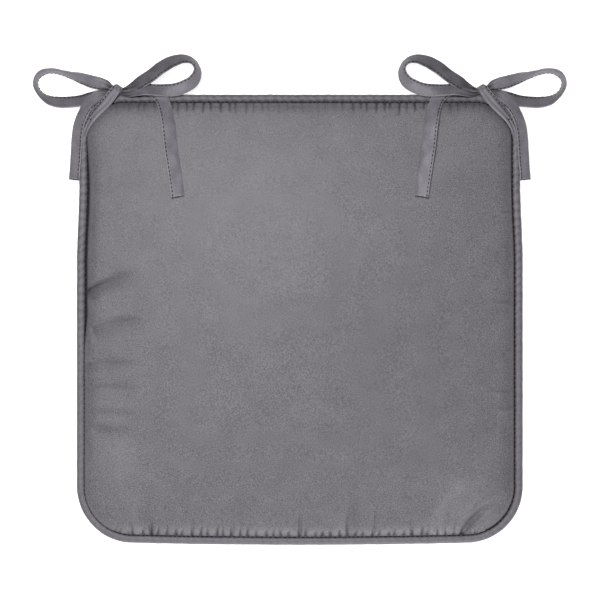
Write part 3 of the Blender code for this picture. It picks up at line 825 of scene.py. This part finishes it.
def tape_mesh(name, points, material, stitched, knots, shaded_stretch, seed, open_end):
    """A tape along a run, the lines that its edge stitching follows on both faces, and its length.
    One argument gives the share of the run where a stretch of painted shade starts, where it ends,
    and how much darker the whole tape is drawn there."""
    middle, across, face, half, run = lay_tape(points)
    bend = tape_bend(SHARES, run, half, knots, seed)
    thick = half_thickness(SHARES, stitched)[None, :] * np.clip(half[:, None] / 4.0, 0.7, 1)
    pinch = (0.05 * np.sin(run * 2 * math.pi / 2.6)[:, None]
             * np.exp(-((SHARES - stitched) / 0.15) ** 2))
    flat = middle[:, None] + across[:, None] * (half[:, None] * SHARES[None, :])[..., None]
    top = flat + face[:, None] * (bend + thick + pinch)[..., None]
    under = flat + face[:, None] * (bend - thick - pinch)[..., None]
    grid = np.concatenate([top, under[:, -2:0:-1]], axis=1)
    if open_end:
        ragged = np.array([
            noise.noise((column * 0.9, 3.3, seed)) for column in range(grid.shape[1])])
        centre = grid[-1].mean(axis=0)
        along = (middle[-1] - middle[-3]) / np.linalg.norm(middle[-1] - middle[-3])
        ragged[len(SHARES):] += 2.2  # the under layer shows beyond the upper one
        grid[-1] += along * (0.55 * ragged)[:, None]
        lip = np.concatenate([
            flat[-1] + face[-1] * (bend[-1] + 0.45 * thick[-1])[:, None],
            (flat[-1] + face[-1] * (bend[-1] - 0.45 * thick[-1])[:, None])[-2:0:-1]])
        lip = centre + (lip - centre) * 0.93
        recess = lip - along * 1.6
        grid = np.concatenate([grid, (lip + along * (0.5 * ragged)[:, None])[None], recess[None]])
    rows, columns = grid.shape[:2]
    faces, corners = grid_faces(rows, columns, False, True)
    faces.append(tuple(range(columns)))
    faces.append(tuple((rows - 1) * columns + column for column in reversed(range(columns))))
    girth = np.concatenate([SHARES, 2 - SHARES[-2:0:-1], [3.0]]) * TAPE_WIDTH / 2000
    length = np.concatenate([run, np.full(rows - len(run), run[-1] + 0.8)]) / 1000
    uv = np.column_stack([girth[corners[:, 1].astype(int)], length[corners[:, 0].astype(int)]])
    caps = np.zeros((2 * columns, 2))
    # Painted shade along the stitching groove.
    groove_shade = -0.25 * np.exp(-(((SHARES - stitched) / 0.09) ** 2))
    # Painted highlight along the tape's folded edges.
    edge = 0.60 * eased(np.abs(SHARES), 0.84, 0.95)
    # Painted shade in the hollows of the tape's cupping and gathers.
    valley = np.clip(0.7 * (bend - bend.max(axis=1)[:, None] * 0.2), -0.7, 0.1)
    # Painted shade where the tape runs into the knot.
    knot_shade = sum(np.exp(-far / reach) for far, reach, knot in (
        (run, 10, "start"), (run[-1] - run, 24, "end")) if knot in knots)
    # Painted shade over the whole width of a stretch of the loop.
    first, last, darker = shaded_stretch
    along_run = run / run[-1]
    strand_shade = (darker * eased(along_run, first - 0.04, first + 0.04)
              * (1 - eased(along_run, last - 0.04, last + 0.04)))
    painted_shading = groove_shade + edge + valley - (0.9 * np.asarray(knot_shade) + strand_shade)[..., None]
    painted_shading = np.concatenate([painted_shading, painted_shading[:, -2:0:-1]], axis=1)
    if open_end:
        # The cut edge is drawn pale, and the lip and the opening inside it dark as painted shade.
        painted_shading[-1] = 0.8
        painted_shading = np.concatenate([painted_shading, np.full((2, columns), -1.0)])
    tape = closed_mesh(name, grid.reshape(-1, 3), faces, material, np.concatenate([uv, caps]),
                       painted_shading=np.clip(painted_shading, -1, 1).ravel())
    lines = []
    keep = slice(6 if "start" in knots else 1, -6 if "end" in knots else -1)
    column = int(np.argmin(np.abs(SHARES - stitched)))
    for surface, sign in ((top, 1), (under, -1)):
        lines.append((surface[:, column] + sign * 0.06 * face)[keep])
    return tape, lines, run[-1]


def mirror(obj):
    """Turns a left bow's piece into the right bow's."""
    for vertex in obj.data.vertices:
        vertex.co.x = -vertex.co.x
    obj.data.flip_normals()


# Drawn paler than the cover's cloth, though the tape is cut from that cloth: painted light, making
# up for light the lamps give the tapes too little of.
tape_cloth = microfibre("edge_stitched_tie_tape", "#76737a", "#56545a", on_uv=True)
# Near black: the real thread plus painted shade of the grooves it lies in.
tie_thread = thread("tie_thread_with_groove_shade", "#201e22")
# Where each loop and tail would start and stop bending as it lifts, in millimetres. Only which
# runs are listed is read: those pieces are left loose, not attached to the pad.
BENDS = {
    "outer_loop": ((-194.5, 207.0, 8.0), (-202.5, 207.0, 8.0)),
    "inner_loop": ((-158.4, 205.2, 14.0), (-151.5, 206.7, 14.0)),
    "outer_tail": ((-182.6, 201.6, 10.0), (-187.6, 195.3, 10.0)),
    "inner_tail": ((-123.2, 201.4, 17.0), (-120.2, 193.8, 17.0)),
}
REPLACED = {
    "tie_root": ("tie_root",),
    "outer_loop": ("outer_loop", "outer_loop_upper_throat", "outer_loop_lower_throat"),
    "inner_loop": ("inner_loop",),
    "outer_tail": ("outer_tail", "outer_tail_throat"),
    "inner_tail": ("inner_tail", "inner_tail_throat"),
}
# How each run lies, where its stitching is across the width, its ends in the knot, and the share
# of it drawn darker as painted shade.
LYING = {
    "tie_root": ("laid", -0.74, (), (0, 0, 0)),
    "outer_loop": ("folded", -0.74, ("start", "end"), (0.55, 1.1, 0.10)),
    "inner_loop": ("folded", 0.74, ("start", "end"), (-0.1, 0.47, 0.50)),
    "outer_tail": ("laid", -0.74, ("start",), (0, 0, 0)),
    "inner_tail": ("laid", 0.74, ("start",), (0, 0, 0)),
}
for bow, flipped in (("left", False), ("right", True)):
    for order, (part, points) in enumerate(TAPE_RUNS.items()):
        held, stitched, knots, shaded_stretch = LYING[part]
        tape, lines, length = tape_mesh(
            f"{bow}_{part}_tape", points, tape_cloth, stitched, knots, shaded_stretch, seed=order + 1,
            open_end=part.endswith("tail"))
        stitches = sew(f"{bow}_{part}_stitches", lines, tie_thread,
                       pitch=3.6, length=2.1, thickness=1.1)
        if flipped:
            mirror(tape)
            mirror(stitches)
        for piece in (tape, stitches):
            if part in BENDS:
                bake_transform(piece)
            else:
                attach(piece, "pad")
        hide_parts(*(f"{bow}_{node}" for node in REPLACED[part]))

# ---------------------------------------------------------------------------------------------
# Knots. The same tape, wound once round the crossing of the loops and pulled tight, so that its
# edges curl in and it creases along its length.
KNOT_CENTRE = np.array((-163.5, 205.7, 11.6))
KNOT_ALONG = np.array((0.56, 0.83, 0.0))
KNOT_ACROSS = np.array((0.83, -0.56, 0.0))


def wound_knot(name, material):
    """One turn of tape round the crossing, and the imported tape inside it, as two closed shells."""
    turn_steps, wide = 48, 15
    shares = np.linspace(-1, 1, wide)
    grid = np.zeros((turn_steps, 2 * wide - 2, 3))
    painted_shading = np.zeros((turn_steps, 2 * wide - 2))
    for step in range(turn_steps):
        angle = 2 * math.pi * step / turn_steps
        for column in range(2 * wide - 2):
            outer = column < wide
            share = shares[column] if outer else shares[2 * wide - 2 - column]
            crease = math.cos(math.pi * (3.2 * share + 0.5 * math.sin(angle + 0.8)))
            curl = 1.0 - 0.20 * share**4 + 0.035 * crease
            wall = 0.0 if outer else 1.15
            reach_along, reach_up = 4.7 * curl - wall, 5.3 * curl - wall
            grid[step, column] = (KNOT_CENTRE + KNOT_ALONG * reach_along * math.cos(angle)
                                  + KNOT_ACROSS * (4.5 * share + 0.5 * math.sin(2 * angle))
                                  + np.array((0, 0, reach_up * math.sin(angle))))
            # Painted shade over the whole knot, darkest in its creases.
            painted_shading[step, column] = min(0.3, 0.5 * crease) - 0.35
    faces, corners = grid_faces(turn_steps, 2 * wide - 2, True, True)
    uv = corners * (0.0009, 0.0007)
    points = grid.reshape(-1, 3)
    core_rows, core_sides = 16, 24
    core_faces, core_corners = grid_faces(core_rows, core_sides, False, True)
    core = []
    for row in range(core_rows):
        tilt = math.pi * (row + 0.5) / core_rows
        for column in range(core_sides):
            angle = 2 * math.pi * column / core_sides
            spoke = KNOT_ALONG * 3.3 * math.cos(angle) + np.array((0, 0, 3.9)) * math.sin(angle)
            core.append(KNOT_CENTRE + KNOT_ACROSS * 5.2 * -math.cos(tilt)
                        + spoke * math.sin(tilt) * (1 + 0.10 * math.cos(8 * angle)))
    first = len(points)
    faces += [tuple(first + i for i in face) for face in core_faces]
    last = first + (core_rows - 1) * core_sides
    faces.append(tuple(first + i for i in range(core_sides)))
    faces.append(tuple(last + i for i in reversed(range(core_sides))))
    uv = np.concatenate([uv, core_corners * (0.0007, 0.0009), np.zeros((2 * core_sides, 2))])
    # Painted shade on the tape inside the knot.
    return closed_mesh(name, np.concatenate([points, core]), faces, material, uv,
                       painted_shading=np.concatenate([painted_shading.ravel(), np.full(len(core), -0.7)]))


for bow, flipped in (("left", False), ("right", True)):
    knot = wound_knot(f"{bow}_knot", tape_cloth)
    # Bar tack: close stitches to and fro across the tie where it enters the corner seam.
    tack_lines = [[(-187.6 + 0.30 * row, 179.6 - 0.45 * row, 16.6),
                   (-183.4 + 0.30 * row, 177.2 - 0.45 * row, 17.3)] for row in range(3)]
    tack = sew(f"{bow}_bar_tack", tack_lines, tie_thread, pitch=0.62, length=0.75, thickness=0.5)
    for piece, node, slot_name in (
            (knot, "tie_knot", "tie_tape"), (tack, "tie_tack", "sewing_thread")):
        if flipped:
            mirror(piece)
        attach(piece, "pad")
        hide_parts(f"{bow}_{node}")

# ---------------------------------------------------------------------------------------------
# Studio: a plain white floor that glows a little, so that it stays white beside the pad, a
# softbox high above at the rear left, a weaker one low at the front, and an even white surround.
floor_mesh = bpy.data.meshes.new("studio_floor")
floor_mesh.from_pydata(
    [(-40, -40, 0), (40, -40, 0), (40, 40, 0), (-40, 40, 0)], [], [(0, 1, 2, 3)])
floor = bpy.data.objects.new("studio_floor", floor_mesh)
bpy.context.scene.collection.objects.link(floor)
floor.location.z = -0.0004
floor_paint = bpy.data.materials.new("matt_white_floor")
floor_paint.use_nodes = True
paint_shader = floor_paint.node_tree.nodes["Principled BSDF"]
paint_shader.inputs["Base Color"].default_value = linear("#cfcfd0")
paint_shader.inputs["Roughness"].default_value = 0.9
paint_shader.inputs["Specular IOR Level"].default_value = 0.1
paint_shader.inputs["Emission Color"].default_value = (1, 1, 1, 1)
paint_shader.inputs["Emission Strength"].default_value = 0.85
floor_mesh.materials.append(floor_paint)

for name, place, size, power in (
    ("softbox_above", (-0.28, 0.40, 1.90), 0.45, 38),
    ("softbox_front", (0.15, -1.20, 0.75), 0.45, 16),
):
    light = bpy.data.lights.new(name, "AREA")
    light.shape = "SQUARE"
    light.size = size
    light.energy = power
    lamp = bpy.data.objects.new(name, light)
    bpy.context.scene.collection.objects.link(lamp)
    lamp.location = place
    lamp.rotation_euler = (Vector((0, 0.02, 0)) - Vector(place)).to_track_quat("-Z", "Y").to_euler()
world = bpy.data.worlds.new("white_surround")
world.use_nodes = True
world.node_tree.nodes["Background"].inputs["Color"].default_value = (1, 1, 1, 1)
world.node_tree.nodes["Background"].inputs["Strength"].default_value = 0.14
bpy.context.scene.world = world
bpy.context.scene.view_settings.view_transform = "Standard"
